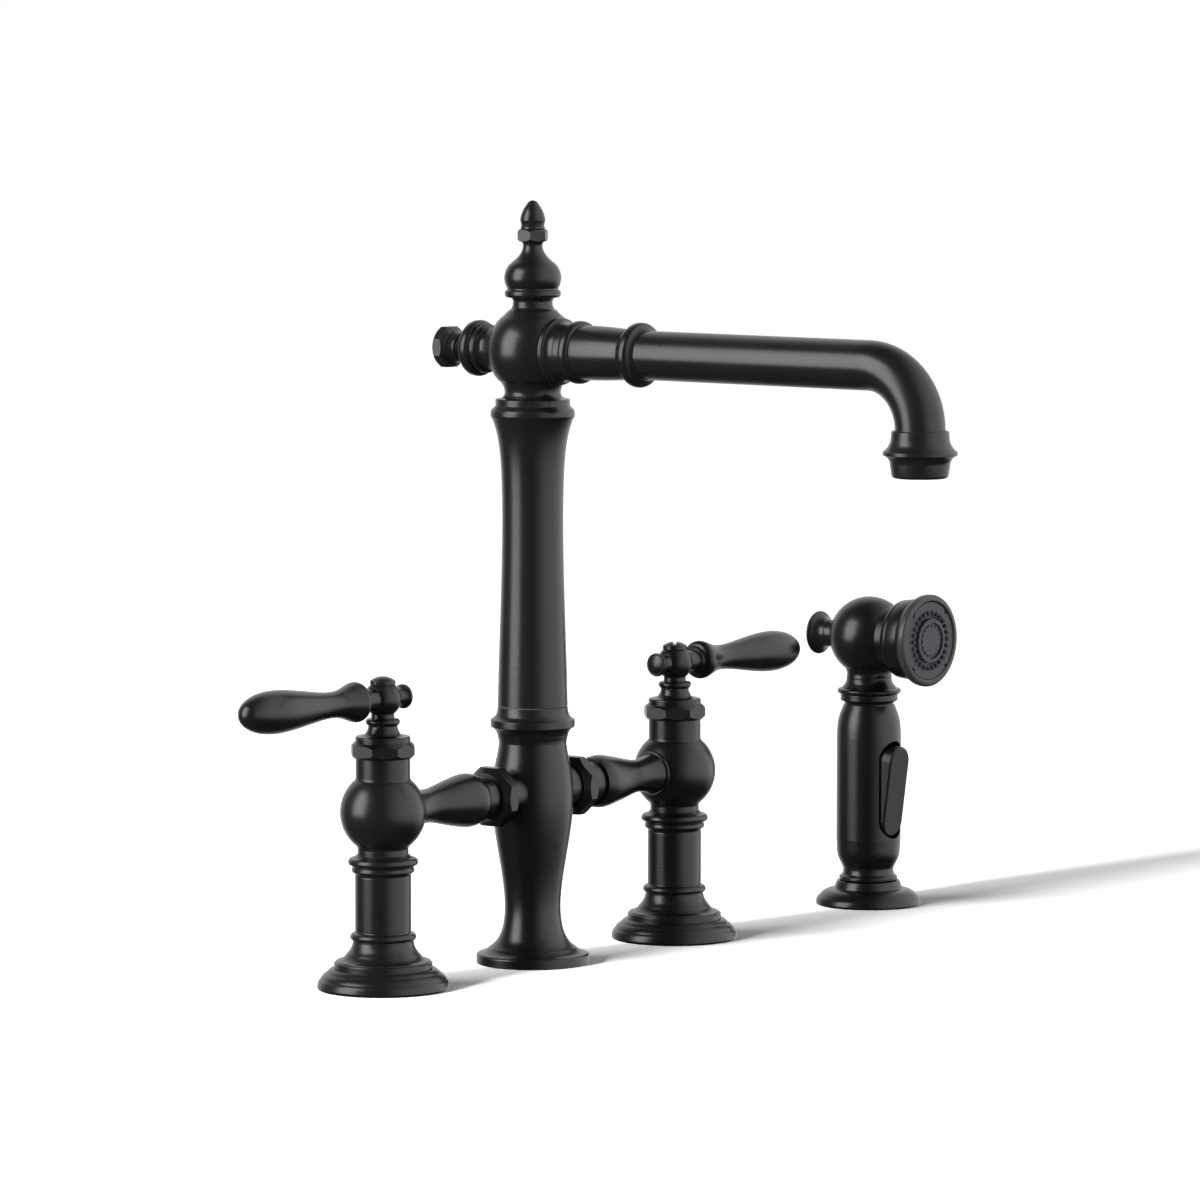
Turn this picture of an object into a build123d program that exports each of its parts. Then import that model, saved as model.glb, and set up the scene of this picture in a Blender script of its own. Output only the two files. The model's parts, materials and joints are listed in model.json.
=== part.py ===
from build123d import *
from math import atan2, cos, hypot, pi, radians, sin, sqrt, tan
import os

# Bridge kitchen faucet with side sprayer, in millimetres.
# +Z is up and z = 0 is the deck.  The origin is the foot of the centre post, +X runs along the bridge
# to the right-hand valve and the side sprayer, and the spout and the spray face point along -Y.

# ---- where the main pieces stand -----------------------------------------------------------------
valve_centres = 203.2  # eight inch bridge
sprayer_offset = 249.9  # from the centre post to the side sprayer
bridge_height = 77.4  # axis of the bridge arms
spout_height = 274.3  # axis of the spout tube
spout_reach = 214.0  # from the centre post to the outlet axis
outlet_leg = 19.9  # from the end of the spout's bend down to its mouth

# ---- fits and gaps -------------------------------------------------------------------------------
running_fit = 0.05  # radial play of anything that turns or slides
seating_fit = 0.05  # radial play of parts that are assembled and stay put
moving_gap = 0.3  # face gap between two bodies that move past each other
seam_gap = 0.15  # face gap where a moving face rides on a fixed one

# ---- centre post (heights above or below the bridge axis, or above the deck) ---------------------
post_foot_radius = 25.2
post_foot_height = 4.7
post_cove_radius = 19.6
post_cove_rise = 2.4
post_waist_radius = 12.5
post_waist_height = 24.5
post_belly_radius = 18.2
post_belly_drop = 5.9  # below the bridge axis
post_neck_radius = 15.12
post_neck_rise = 21.8  # above the bridge axis
post_ring_radius = 18.82
post_ring_rise = 8.8  # above the neck
post_ring_width = 3.6
post_top_radius = 15.65
post_top_rise = 7.3  # above the ring
post_stud_radius = 4.25  # tapped M10 for the hold-down stud
post_stud_depth = 22.0
post_chamber_radius = 8.0
post_chamber_drop = 11.4  # floor of the chamber below the bridge axis
post_boss_radius = 10.0  # screwed sockets for the bridge unions
bridge_bore_radius = 5.0

# ---- swivel --------------------------------------------------------------------------------------
spigot_radius = 10.4
spigot_bore_radius = 7.0
spigot_foot_rise = 9.6  # above the bridge axis
spigot_engagement = 18.0  # how far the spigot screws into the column
swivel_bush_radius = 12.2
swivel_bush_depth = 6.5
swivel_bush_flange_radius = 14.9
swivel_bush_flange = 0.5
ring_groove_depth = 1.3
ring_groove_width = 1.9
lower_seal_rise = 4.0  # above the foot of the spigot
upper_seal_rise = 6.3  # above the grub screw
grub_screw_radius = 2.0
grub_tip_radius = 1.3
grub_tip_length = 2.2
grub_socket_depth = 1.6
grub_groove_width = 3.0

# ---- column --------------------------------------------------------------------------------------
column_foot_radius = 15.62
column_waist_radius = 13.6
column_waist_share = 0.62  # how far up the column its narrowest place is
column_bead_radius = 18.75
column_bead_drop = 3.6  # below the top of the column
column_top_drop = 24.4  # below the spout axis
column_bore_radius = 9.0
head_spigot_radius = 10.5
head_spigot_length = 12.0

# ---- spout head (the ball on the column) ---------------------------------------------------------
ball_radius = 20.3
ball_low_share = 0.65  # where the ball's skin starts and ends, as shares of its radius
ball_high_share = 0.70
head_ring_radius = 16.6
head_ring_width = 2.9
head_neck_radius = 12.5
head_neck_rise = 6.0  # above the top of the column
head_crown_radius = 8.88
head_crown_rise = 21.0  # above the spout axis
head_lip_height = 2.6
head_top_radius = 10.0
head_way_radius = 7.0
stud_radius = 3.0  # M6 studs that hold both finials
stud_depth = 7.0
stud_tip_gap = 2.0  # left free behind the end of a stud

# ---- top finial, each height above the one before it ---------------------------------------------
finial_bead_radius = 12.42
finial_bead_rise = 1.8
finial_cove_radius = 11.6
finial_cove_rise = 2.7
finial_bulb_radius = 12.68
finial_bulb_rise = 4.1
finial_neck_radius = 4.36
finial_neck_rise = 13.7
finial_nut_seat = 2.5
finial_nut_flats = 12.4
finial_nut_height = 5.3
finial_tip_radius = 5.6
finial_tip_rise = 4.0
finial_point_radius = 2.65
finial_point_rise = 7.1
finial_point_cap = 1.8

# ---- rear finial (on the axis of the spout, behind the ball, each length from the one before) ----
rear_seat_radius = 9.3
rear_cove_radius = 8.7
rear_cove_length = 4.25
rear_bead_radius = 10.9
rear_bead_rise = 3.1
rear_bead_width = 2.9
rear_disc_radius = 12.55
rear_disc_width = 9.3
rear_seam = 3.0  # from the back of the disc to where the knob begins
rear_neck_radius = 5.7
rear_neck_length = 5.3
rear_knob_flats = 18.05
rear_knob_width = 5.6

# ---- spout (lengths along its axis, each from the one before) ------------------------------------
socket_radius = 14.6
socket_cove_radius = 12.9
socket_length = 10.8
sleeve_bead_radius = 13.9
sleeve_bead_width = 4.7
sleeve_start_radius = 12.1
sleeve_end_radius = 11.0
sleeve_length = 27.6  # from its bead to its ring
spout_ring_radius = 14.25
spout_ring_width = 8.4
tube_radius = 10.8
tube_wall = 1.6
tube_insertion = 4.9  # how far the tube runs back past the sleeve into the socket
bend_radius = 27.0
spout_seal_inset = 9.1  # from the start of the sleeve
spout_seal_groove = 0.9

# ---- aerator (heights above its mouth) -----------------------------------------------------------
aerator_height = 20.1
aerator_top_radius = 12.3
aerator_ring_radius = 15.95
aerator_ring_rise = 10.5
aerator_ring_width = 1.7
aerator_skirt_radius = 12.7
aerator_mouth_radius = 10.9
aerator_bore_radius = 9.2
aerator_thread_depth = 8.0
aerator_thread_height = 0.6
aerator_washer = 1.2
aerator_insert_wall = 1.2
aerator_insert_inset = 1.0
aerator_mesh_bars = 5
aerator_mesh_bar = 0.5

# ---- valve ---------------------------------------------------------------------------------------
flange_radius = 28.75
flange_height = 9.1
flange_shoulder_radius = 22.6
flange_recess_radius = 24.0
gasket_inner_radius = 13.5
gasket_thickness = 1.6
gasket_gap = 0.5
leg_step_radius = 21.5
leg_step_rise = 2.8  # above the flange
leg_cove_radius = 13.35
leg_cove_rise = 8.7  # above the step
leg_lower_bead_radius = 14.45
leg_lower_bead_rise = 2.5  # above the cove
leg_radius = 12.25
leg_ring_radius = 13.65
leg_ring_drop = 6.5  # below the top of the leg
leg_upper_bead_radius = 15.2
leg_upper_bead_drop = 2.6
shank_radius = 11.0
inlet_thread_radius = 9.3  # tapped G1/2 for the supply connector
inlet_thread_depth = 16.0
shank_bore_radius = 6.5
shank_spigot_radius = 8.6
shank_spigot_length = 6.0
valve_ball_radius = 18.73
valve_low_share = 0.7635  # where the ball's skin starts and ends, as shares of its radius
valve_high_share = 0.726
valve_foot_radius = 11.1
valve_foot_height = 1.9
valve_foot_cove = 2.3
valve_neck_radius = 11.87
valve_neck_cove = 1.6
valve_neck_length = 8.6
bonnet_nut_flats = 27.0
bonnet_nut_height = 6.9
cartridge_radius = 9.5
cartridge_drop = 5.9  # its floor below the bridge axis
cartridge_height = 25.0
cartridge_seal = 1.5
disc_radius = 7.4
disc_thickness = 3.0
disc_port_share = 0.28  # port radius as a share of the disc's
stem_radius = 3.4
stem_foot_thickness = 3.0
stem_drop = 0.6  # its top below the lever axis
bonnet_step_radius = 12.0
bonnet_step_height = 2.7
bonnet_neck_radius = 6.45
bonnet_height = 7.1
bonnet_spigot_radius = 7.0
bonnet_spigot_length = 3.0

# ---- handle --------------------------------------------------------------------------------------
hub_ring_radius = 7.45
hub_ring_rise = 1.8  # above the bonnet
hub_ring_width = 2.8
hub_neck_radius = 5.05
hub_neck_length = 1.2
hub_cove = 1.0
hub_radius = 8.15
hub_crown_share = 0.785  # where the ball is cut flat, as a share of its radius
hub_screw_radius = 5.55
hub_screw_rim = 1.7
hub_screw_crown = 1.7
hub_screw_slot_width = 1.5
hub_screw_slot_depth = 1.3
hub_screw_slot_angle = {-1: -40.0, 1: 52.0}  # where each screw happened to stop
hub_screw_thread_radius = 1.9
hub_screw_thread_length = 8.0
knob_neck_radius = 4.1
knob_radius = 5.3
knob_reach = 14.4
knob_rim = 2.1
lever_neck_radius = 4.8
lever_collar_radius = 5.75
lever_collar_reach = 15.0
lever_flare_radius = 8.7
lever_flare_share = 0.035  # shares of the length from the collar to the tip
lever_waist_radius = 5.7
lever_waist_share = 0.256
lever_grip_radius = 9.35
lever_grip_share = 0.726
lever_tip_radius = 5.3
lever_tip_cap = 2.7
lever_length = 90.1
tenon_radius = 2.4  # screwed tenons of the lever and of the knob opposite
tenon_gap = 0.8  # between the end of a tenon and the stem

# ---- bridge arm (lengths along the bridge, each from the one before) -----------------------------
union_gap = 4.8  # between the belly of the post and the nut
union_flats = 26.0
union_width = 10.0
union_chamfer = 2.2
union_thread_radius = 10.15
union_engagement = 5.2  # how far the boss of the post reaches into the nut
union_seal_thickness = 0.8
arm_lip = 1.8
arm_tail_radius = 10.0
arm_collar_radius = 9.55
arm_collar_length = 8.0
arm_shoulder_radius = 10.9
arm_swell_radius = 11.88
arm_swell_length = 4.6
arm_waist_radius = 7.45
arm_waist_inset = 13.2  # from the valve end
arm_ring_radius = 10.3
arm_ring_width = 1.7
arm_seat_radius = 9.9
arm_spigot_length = 3.0
arm_spigot_inset = 0.4
arm_bore_radius = 5.0

# ---- side sprayer (heights, each above the one before) -------------------------------------------
holder_radius = 25.0
holder_dome_height = 7.7
holder_step_radius = 16.0
holder_rim_radius = 15.1
holder_rim_height = 3.8
holder_bore_radius = 11.4
holder_bush_bore_radius = 9.8
holder_bush_lip = 0.6
holder_bush_foot = 0.4
holder_gasket_radius = 21.5
tail_length = 10.0  # how far the handle's tail drops into the holder
hose_port_radius = 5.0
hose_port_depth = 7.0
foot_ring_radius = 13.8
foot_neck_radius = 12.0
foot_height = 6.1
grip_radius = 15.3
grip_end_radius = 12.1
grip_length = 78.0
grip_shoulder_length = 13.9
grip_crown_length = 15.6
grip_bore_radius = 8.6
neck_ring_radius = 13.58
neck_ring_height = 5.4
head_flare_radius = 15.1
head_flare_rise = 1.2
head_bead_half = 1.1  # from the widest line of the bead to its top edge
head_bead_inset = 0.7
head_cove_radius = 12.2
head_cove_rise = 2.6
spray_neck_radius = 10.8
spray_neck_rise = 4.0
spray_ball_cove = 4.4
spray_ball_radius = 18.95
spray_low_share = 0.7916  # where the ball's skin starts, as a share of its radius
spray_stud_radius = 2.4
spray_stud_depth = 6.0
spray_way_radius = 6.0
tail_knob_radius = 10.2
tail_knob_length = 12.2
tail_knob_neck_radius = 5.6
tail_knob_seat_radius = 7.2
bell_ring_radius = 15.6
bell_ring_sink = 4.95  # how far the ring's seat lies inside the ball
bell_ring_width = 4.2
bell_radius = 18.6
bell_swell_length = 4.4
bell_waist_radius = 19.2
bell_waist_length = 10.4
bell_length = 13.8
bell_wall = 2.2
bell_rim_radius = 21.8
bell_rim_width = 4.0
face_radius = 18.2
face_thickness = 3.6  # its back lies on the end of the bell
face_notches = 4
face_notch_radius = 1.1
face_notch_depth = 1.2
nozzle_count = 26
nozzle_circle = 13.1
nozzle_radius = 1.05
nozzle_length = 1.3
nozzle_pad_width = 4.8
nozzle_pad_thickness = 1.2
button_radius = 10.4
button_recess_radius = 8.8
button_length = 1.4
button_recess_depth = 1.1
button_seat_depth = 1.8
button_moat_width = 1.2
button_moat_depth = 0.9
button_disc_gap = 1.3
button_disc_drop = 0.5  # below the ring round it
button_scallops = 16
button_scallop_radius = 0.9

# ---- trigger -------------------------------------------------------------------------------------
recess_width = 17.4
recess_rise = 14.7  # its bottom above the foot of the grip
recess_height = 46.7
recess_floor = 5.6  # distance of the recess floor in front of the handle axis
trigger_width = 15.2
trigger_low_gap = 1.3
trigger_high_gap = 1.6
trigger_thickness = 7.2
trigger_angle = 7.7  # how far the trigger stands open
trigger_edge = 0.9
trigger_inset = 1.0  # how far the shut trigger's face lies behind the skin of the grip
pivot_rise = 5.1  # above the bottom of the recess
pivot_pin_radius = 1.5
pivot_pin_inset = 0.2
pivot_reach = 9.4
plunger_radius = 2.4
plunger_arm = 24.6  # from the pivot up to the plunger
plunger_head_radius = 3.4
plunger_head_length = 1.4
plunger_length = 11.0
plunger_bore_back = 6.4  # how far the plunger's bore runs behind the handle axis
spring_wire = 0.35
spring_radius = 3.1
spring_turns = 5
spring_seat = 1.2  # distance of the spring's seat in front of the handle axis
core_way_radius = 2.0

WHOLE_TURN = 360
EIGHTH = 8
SIXTH = 6


def ball_slice(radius, offset):
    """Radius of the circle that a ball of the given radius shows at a distance from its centre."""
    return sqrt(max(radius**2 - offset**2, 0))


# ---- places that follow from the sizes above -----------------------------------------------------
post_belly_height = bridge_height - post_belly_drop
post_neck_height = bridge_height + post_neck_rise
post_ring_height = post_neck_height + post_ring_rise
post_top_height = post_ring_height + post_top_rise
post_chamber_floor = bridge_height - post_chamber_drop
spigot_foot_height = bridge_height + spigot_foot_rise
swivel_seal_heights = (spigot_foot_height + lower_seal_rise, post_neck_height + upper_seal_rise)

column_top_height = spout_height - column_top_drop
column_bead_height = column_top_height - column_bead_drop
head_neck_height = column_top_height + head_neck_rise
head_crown_height = spout_height + head_crown_rise
head_top_height = head_crown_height + head_lip_height
finial_bead_height = head_top_height + finial_bead_rise
finial_cove_height = finial_bead_height + finial_cove_rise
finial_bulb_height = finial_cove_height + finial_bulb_rise
finial_neck_height = finial_bulb_height + finial_neck_rise
finial_nut_base = finial_neck_height + finial_nut_seat
finial_nut_top = finial_nut_base + finial_nut_height
finial_tip_height = finial_nut_top + finial_tip_rise
finial_point_height = finial_tip_height + finial_point_rise

rear_seat = ball_slice(ball_radius, rear_seat_radius)
rear_bead_start = rear_seat + rear_cove_length + rear_bead_rise
rear_disc_start = rear_bead_start + rear_bead_width
rear_disc_end = rear_disc_start + rear_disc_width
rear_knob_start = rear_disc_end + rear_seam + rear_neck_length
rear_knob_end = rear_knob_start + rear_knob_width

socket_seat = ball_slice(ball_radius, socket_radius)
socket_end = socket_seat + socket_length
sleeve_bead_end = socket_end + sleeve_bead_width
spout_ring_start = sleeve_bead_end + sleeve_length
spout_ring_end = spout_ring_start + spout_ring_width
tube_start = socket_end - tube_insertion
bend_end_height = spout_height - bend_radius
outlet_height = bend_end_height - outlet_leg
aerator_top_height = outlet_height + aerator_height
tube_bottom = aerator_top_height - aerator_thread_depth

leg_step_height = flange_height + leg_step_rise
leg_cove_height = leg_step_height + leg_cove_rise
leg_lower_bead_height = leg_cove_height + leg_lower_bead_rise
leg_top_height = bridge_height - valve_ball_radius * valve_low_share - valve_foot_cove - valve_foot_height
leg_ring_height = leg_top_height - leg_ring_drop
leg_upper_bead_height = leg_top_height - leg_upper_bead_drop
valve_neck_height = bridge_height + valve_ball_radius * valve_high_share + valve_neck_cove
bonnet_nut_base = valve_neck_height + valve_neck_length
bonnet_nut_top = bonnet_nut_base + bonnet_nut_height
bonnet_top_height = bonnet_nut_top + bonnet_height
cartridge_floor = bridge_height - cartridge_drop
hub_ring_height = bonnet_top_height + hub_ring_rise
hub_neck_height = hub_ring_height + hub_ring_width / 2 + hub_neck_length
hub_foot = ball_slice(hub_radius, hub_neck_radius)
lever_height = hub_neck_height + hub_cove + hub_foot
hub_top_height = lever_height + hub_radius * hub_crown_share
stem_top_height = lever_height - stem_drop

union_start = post_belly_radius + union_gap
union_end = union_start + union_width
post_boss_reach = union_start + union_engagement
arm_start = post_boss_reach + union_seal_thickness
arm_shoulder = union_end + arm_collar_length
arm_swell_reach = arm_shoulder + arm_swell_length
arm_end = valve_centres / 2 - ball_slice(valve_ball_radius, arm_seat_radius)

holder_top_height = holder_dome_height + holder_rim_height
foot_top_height = holder_top_height + foot_height
grip_top_height = foot_top_height + grip_length
neck_ring_top = grip_top_height + neck_ring_height
head_flare_height = neck_ring_top + head_flare_rise
head_cove_height = head_flare_height + head_cove_rise
spray_neck_height = head_cove_height + spray_neck_rise
spray_height = spray_neck_height + spray_ball_cove + spray_ball_radius * spray_low_share
tail_knob_seat = ball_slice(spray_ball_radius, tail_knob_seat_radius)
tail_knob_reach = tail_knob_seat + tail_knob_length
bell_ring_start = spray_ball_radius - bell_ring_sink
bell_ring_end = bell_ring_start + bell_ring_width
bell_end = bell_ring_end + bell_length
bell_rim_end = bell_end + bell_rim_width
face_reach = bell_end + face_thickness
recess_bottom = foot_top_height + recess_rise
recess_top = recess_bottom + recess_height
trigger_foot_reach = grip_radius - trigger_inset
pivot_height = recess_bottom + pivot_rise
plunger_height = pivot_height + plunger_arm
pin_half_length = ball_slice(grip_radius, pivot_reach + pivot_pin_radius) - pivot_pin_inset

os.makedirs("parts", exist_ok=True)
made = {}


# ---- helpers -------------------------------------------------------------------------------------
def arc_bow(angle):
    """Bow, as a share of the chord, of an arc that turns by an angle in radians."""
    return tan(angle / 4) / 2


def ball_bow(radius, low, high):
    """Bow of the arc of a ball between two heights measured from its centre."""
    return arc_bow(atan2(high, ball_slice(radius, high)) - atan2(low, ball_slice(radius, low)))


def tip_bow(radius, height):
    """Bow of a round end that starts at a radius and closes on the axis a height further on."""
    return arc_bow(2 * atan2(height, radius))


def bowed(start, end, bow):
    """An edge from start to end that bows to its right by a share of its length."""
    if abs(bow) < 1e-6:
        return Line(start, end)
    (r0, z0), (r1, z1) = start, end
    middle = ((r0 + r1) / 2 + (z1 - z0) * bow, (z0 + z1) / 2 - (r1 - r0) * bow)
    return ThreePointArc(start, middle, end)


def turned(*steps):
    """A solid turned about +Z. Steps climb the outline: (radius, height) after a straight cut, or
    (radius, height, bow) after a round one that bows outwards by that share of its length, or a list of
    (radius, height) after one smooth curve through them."""
    first = steps[0]
    bottom, top = first[1], first[1]
    with BuildSketch(Plane.XZ) as section:
        with BuildLine():
            here = (first[0], first[1])
            for step in steps[1:]:
                if isinstance(step, list):
                    Spline(here, *step)
                    here = step[-1]
                else:
                    there = (step[0], step[1])
                    bow = step[2] if len(step) == 3 else 0
                    bowed(here, there, bow)
                    here = there
            top = here[1]
            axis_points = [here, (0, top), (0, bottom), (first[0], bottom)]
            for a, b in zip(axis_points, axis_points[1:]):
                if hypot(a[0] - b[0], a[1] - b[1]) > 1e-6:
                    Line(a, b)
        make_face()
    return revolve(section.sketch, Axis.Z, WHOLE_TURN)


def through(start, *legs):
    """Points of one smooth curve from start. Each leg is its end point, then the points on the way there
    as shares of the change of radius and of height."""
    points = []
    for end, shares in legs:
        for radius_share, height_share in shares:
            radius = start[0] + (end[0] - start[0]) * radius_share
            points.append((radius, start[1] + (end[1] - start[1]) * height_share))
        points.append(end)
        start = end
    return points


def rod(radius, bottom, top):
    """A plain cylinder about +Z between two heights."""
    return Pos(0, 0, bottom) * Cylinder(radius, top - bottom, align=(Align.CENTER, Align.CENTER, Align.MIN))


def tube(radius, bore, bottom, top):
    """A plain tube about +Z between two heights."""
    return rod(radius, bottom, top) - rod(bore, bottom, top)


def o_ring(centre_radius, wire, height):
    """A rubber ring about +Z."""
    return Pos(0, 0, height) * Torus(centre_radius, wire)


def ring_seal(seat_radius, bore, height):
    """An O-ring that lies in a groove of a spigot and just meets the bore round it."""
    wire = (bore - seat_radius) / 2 - running_fit / 2
    return o_ring((bore + seat_radius) / 2, wire, height)


def groove(radius, depth, width, height):
    """What is turned out of a spigot for an O-ring."""
    return tube(radius + running_fit, radius - depth, height - width / 2, height + width / 2)


def nut(flats, sides, bottom, top, chamfer):
    """A nut about +Z with a flat facing +X, its corners turned off by a cone at both ends."""
    corner = flats / 2 / cos(pi / sides)
    turn = 180 / sides
    blank = Pos(0, 0, bottom) * extrude(RegularPolygon(corner, sides, rotation=turn), top - bottom)
    cone = turned(
        (flats / 2 - chamfer, bottom),
        (corner, bottom + corner - flats / 2 + chamfer),
        (corner, top - (corner - flats / 2 + chamfer)),
        (flats / 2 - chamfer, top),
    )
    return blank & cone


def stadium(width, bottom, top):
    """A slot outline in the XZ plane, as deep as the caller extrudes it."""
    return Pos(0, 0, (top + bottom) / 2) * Rot(90, 0, 0) * Rot(0, 0, 90) * SlotOverall(top - bottom, width)


def keep(name, solid):
    """Add a piece to its node. Like pieces that stay put share one node as a group of separate solids."""
    made.setdefault(name, []).append(solid)


TO_FRONT = Rot(90, 0, 0)  # a piece turned about +Z lies along -Y
TO_REAR = Rot(-90, 0, 0)  # and along +Y


def along_bridge(side):
    """A piece turned about +Z lies along +X on the right and along -X on the left."""
    return Rot(0, 90 * side, 0)


# ---- centre post ---------------------------------------------------------------------------------
def make_post():
    cove = (post_cove_radius, post_foot_height + post_cove_rise)
    waist = (post_waist_radius, post_waist_height)
    belly = (post_belly_radius, post_belly_height)
    neck = (post_neck_radius, post_neck_height)
    ring_low = post_ring_height - post_ring_width / 2
    ring_high = post_ring_height + post_ring_width / 2
    body = turned(
        (post_foot_radius - 0.2, 0),
        (post_foot_radius, 0.4, 0.2),
        (post_foot_radius, post_foot_height - 1.2),
        (post_foot_radius - 1.4, post_foot_height, 0.2),
        (*cove, -0.08),
        through(
            cove,
            (waist, [(0.451, 0.161), (0.761, 0.385), (0.944, 0.707)]),
            (belly, [(0.044, 0.138), (0.228, 0.326), (0.526, 0.547), (0.825, 0.777)]),
            (neck, [(0.032, 0.289), (0.357, 0.603), (0.812, 0.845)]),
        ),
        (post_neck_radius + 0.6, post_neck_height + 3.0, -0.04),
        (post_ring_radius - 0.5, ring_low, -0.12),
        (post_ring_radius, ring_low + 0.5, 0.2),
        (post_ring_radius, ring_high - 0.5),
        (post_ring_radius - 0.5, ring_high, 0.2),
        (post_top_radius + 0.35, post_top_height - 2.4, -0.12),
        (post_top_radius, post_top_height, -0.02),
    )
    bosses = Rot(0, 90, 0) * rod(post_boss_radius, -post_boss_reach, post_boss_reach)
    body += Pos(0, 0, bridge_height) * bosses
    bridge_bore = Rot(0, 90, 0) * rod(bridge_bore_radius, -post_boss_reach, post_boss_reach)
    body -= Pos(0, 0, bridge_height) * bridge_bore
    body -= rod(post_stud_radius, 0, post_stud_depth)
    body -= rod(post_chamber_radius, post_chamber_floor, spigot_foot_height - seam_gap)
    body -= rod(spigot_radius + running_fit, spigot_foot_height - seam_gap, post_top_height)
    body -= rod(swivel_bush_radius, post_top_height - swivel_bush_depth, post_top_height)
    body -= Pos(0, 0, post_neck_height) * TO_REAR * rod(grub_screw_radius, 0, post_belly_radius)
    keep("centre_post", body)

    bush_top = post_top_height + swivel_bush_flange
    bush = rod(swivel_bush_radius, post_top_height - swivel_bush_depth, post_top_height)
    bush += rod(swivel_bush_flange_radius, post_top_height, bush_top)
    bush -= rod(spigot_radius + running_fit, 0, bush_top)
    keep("swivel_bush", bush)

    tip_start = spigot_radius - ring_groove_depth + seam_gap
    screw_end = ball_slice(post_neck_radius, grub_screw_radius) - 0.5
    screw = rod(grub_tip_radius, tip_start, tip_start + grub_tip_length)
    screw += rod(grub_screw_radius, tip_start + grub_tip_length, screw_end)
    hex_socket = extrude(RegularPolygon(grub_tip_radius * 0.85, SIXTH), grub_socket_depth)
    screw -= Pos(0, 0, screw_end - grub_socket_depth) * hex_socket
    keep("swivel_grub_screw", Pos(0, 0, post_neck_height) * TO_REAR * screw)


# ---- column and swivel spigot --------------------------------------------------------------------
def make_column():
    foot = post_top_height + swivel_bush_flange + seam_gap
    spigot_top = foot + spigot_engagement
    waist = (column_waist_radius, foot + (column_top_height - foot) * column_waist_share)
    flare = (column_bead_radius - 0.75, column_bead_height - 2.4)
    column = turned(
        (column_foot_radius, foot),
        through(
            (column_foot_radius, foot),
            (waist, [(0.257, 0.241), (0.678, 0.567), (0.911, 0.795)]),
            (flare, [(0.057, 0.379), (0.261, 0.686), (0.523, 0.846)]),
        ),
        (column_bead_radius, column_bead_height, 0.13),
        (column_bead_radius - 0.9, column_bead_height + 2.3, 0.13),
        (column_bead_radius - 2.2, column_top_height, -0.05),
    )
    column -= rod(spigot_radius, foot, spigot_top)
    column -= rod(column_bore_radius, foot, column_top_height)
    column -= rod(head_spigot_radius, column_top_height - head_spigot_length, column_top_height)
    keep("column", column)

    spigot = tube(spigot_radius, spigot_bore_radius, spigot_foot_height, spigot_top)
    for height in swivel_seal_heights:
        spigot -= groove(spigot_radius, ring_groove_depth, ring_groove_width, height)
    spigot -= groove(spigot_radius, ring_groove_depth, grub_groove_width, post_neck_height)
    keep("swivel_spigot", spigot)

    seat = spigot_radius - ring_groove_depth
    for height in swivel_seal_heights:
        keep("spout_seals", ring_seal(seat, spigot_radius + running_fit, height))


# ---- spout head ----------------------------------------------------------------------------------
def make_head():
    centre = spout_height
    low, high = -ball_radius * ball_low_share, ball_radius * ball_high_share
    head = turned(
        (head_ring_radius, column_top_height),
        (head_ring_radius, column_top_height + head_ring_width - 0.5),
        (head_ring_radius - 0.5, column_top_height + head_ring_width, 0.2),
        (head_ring_radius - 2.6, column_top_height + head_ring_width + 0.4),
        (head_neck_radius, head_neck_height, -0.14),
        (ball_slice(ball_radius, low), centre + low, -0.12),
        (ball_radius, centre, ball_bow(ball_radius, low, 0)),
        (ball_slice(ball_radius, high), centre + high, ball_bow(ball_radius, 0, high)),
        (head_crown_radius + 1.9, head_crown_height - 3.3, -0.02),
        (head_crown_radius, head_crown_height, -0.16),
        (head_top_radius, head_top_height, -0.16),
    )
    head += rod(head_spigot_radius, column_top_height - head_spigot_length, column_top_height)
    head -= rod(head_way_radius, column_top_height - head_spigot_length, centre)
    head -= rod(stud_radius, head_crown_height - stud_depth - stud_tip_gap, head_top_height)
    seal_height = column_top_height - head_spigot_length / 2
    head -= groove(head_spigot_radius, ring_groove_depth, ring_groove_width, seal_height)
    front = Pos(0, 0, centre) * TO_FRONT
    rear = Pos(0, 0, centre) * TO_REAR
    head -= front * rod(head_way_radius, 0, ball_radius)
    head -= front * rod(socket_radius, socket_seat, ball_radius)
    head -= rear * rod(rear_seat_radius, rear_seat, ball_radius)
    head -= rear * rod(stud_radius, rear_seat - stud_depth, ball_radius)
    keep("spout_head", head)
    keep("spout_seals", ring_seal(head_spigot_radius - ring_groove_depth, head_spigot_radius, seal_height))


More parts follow.
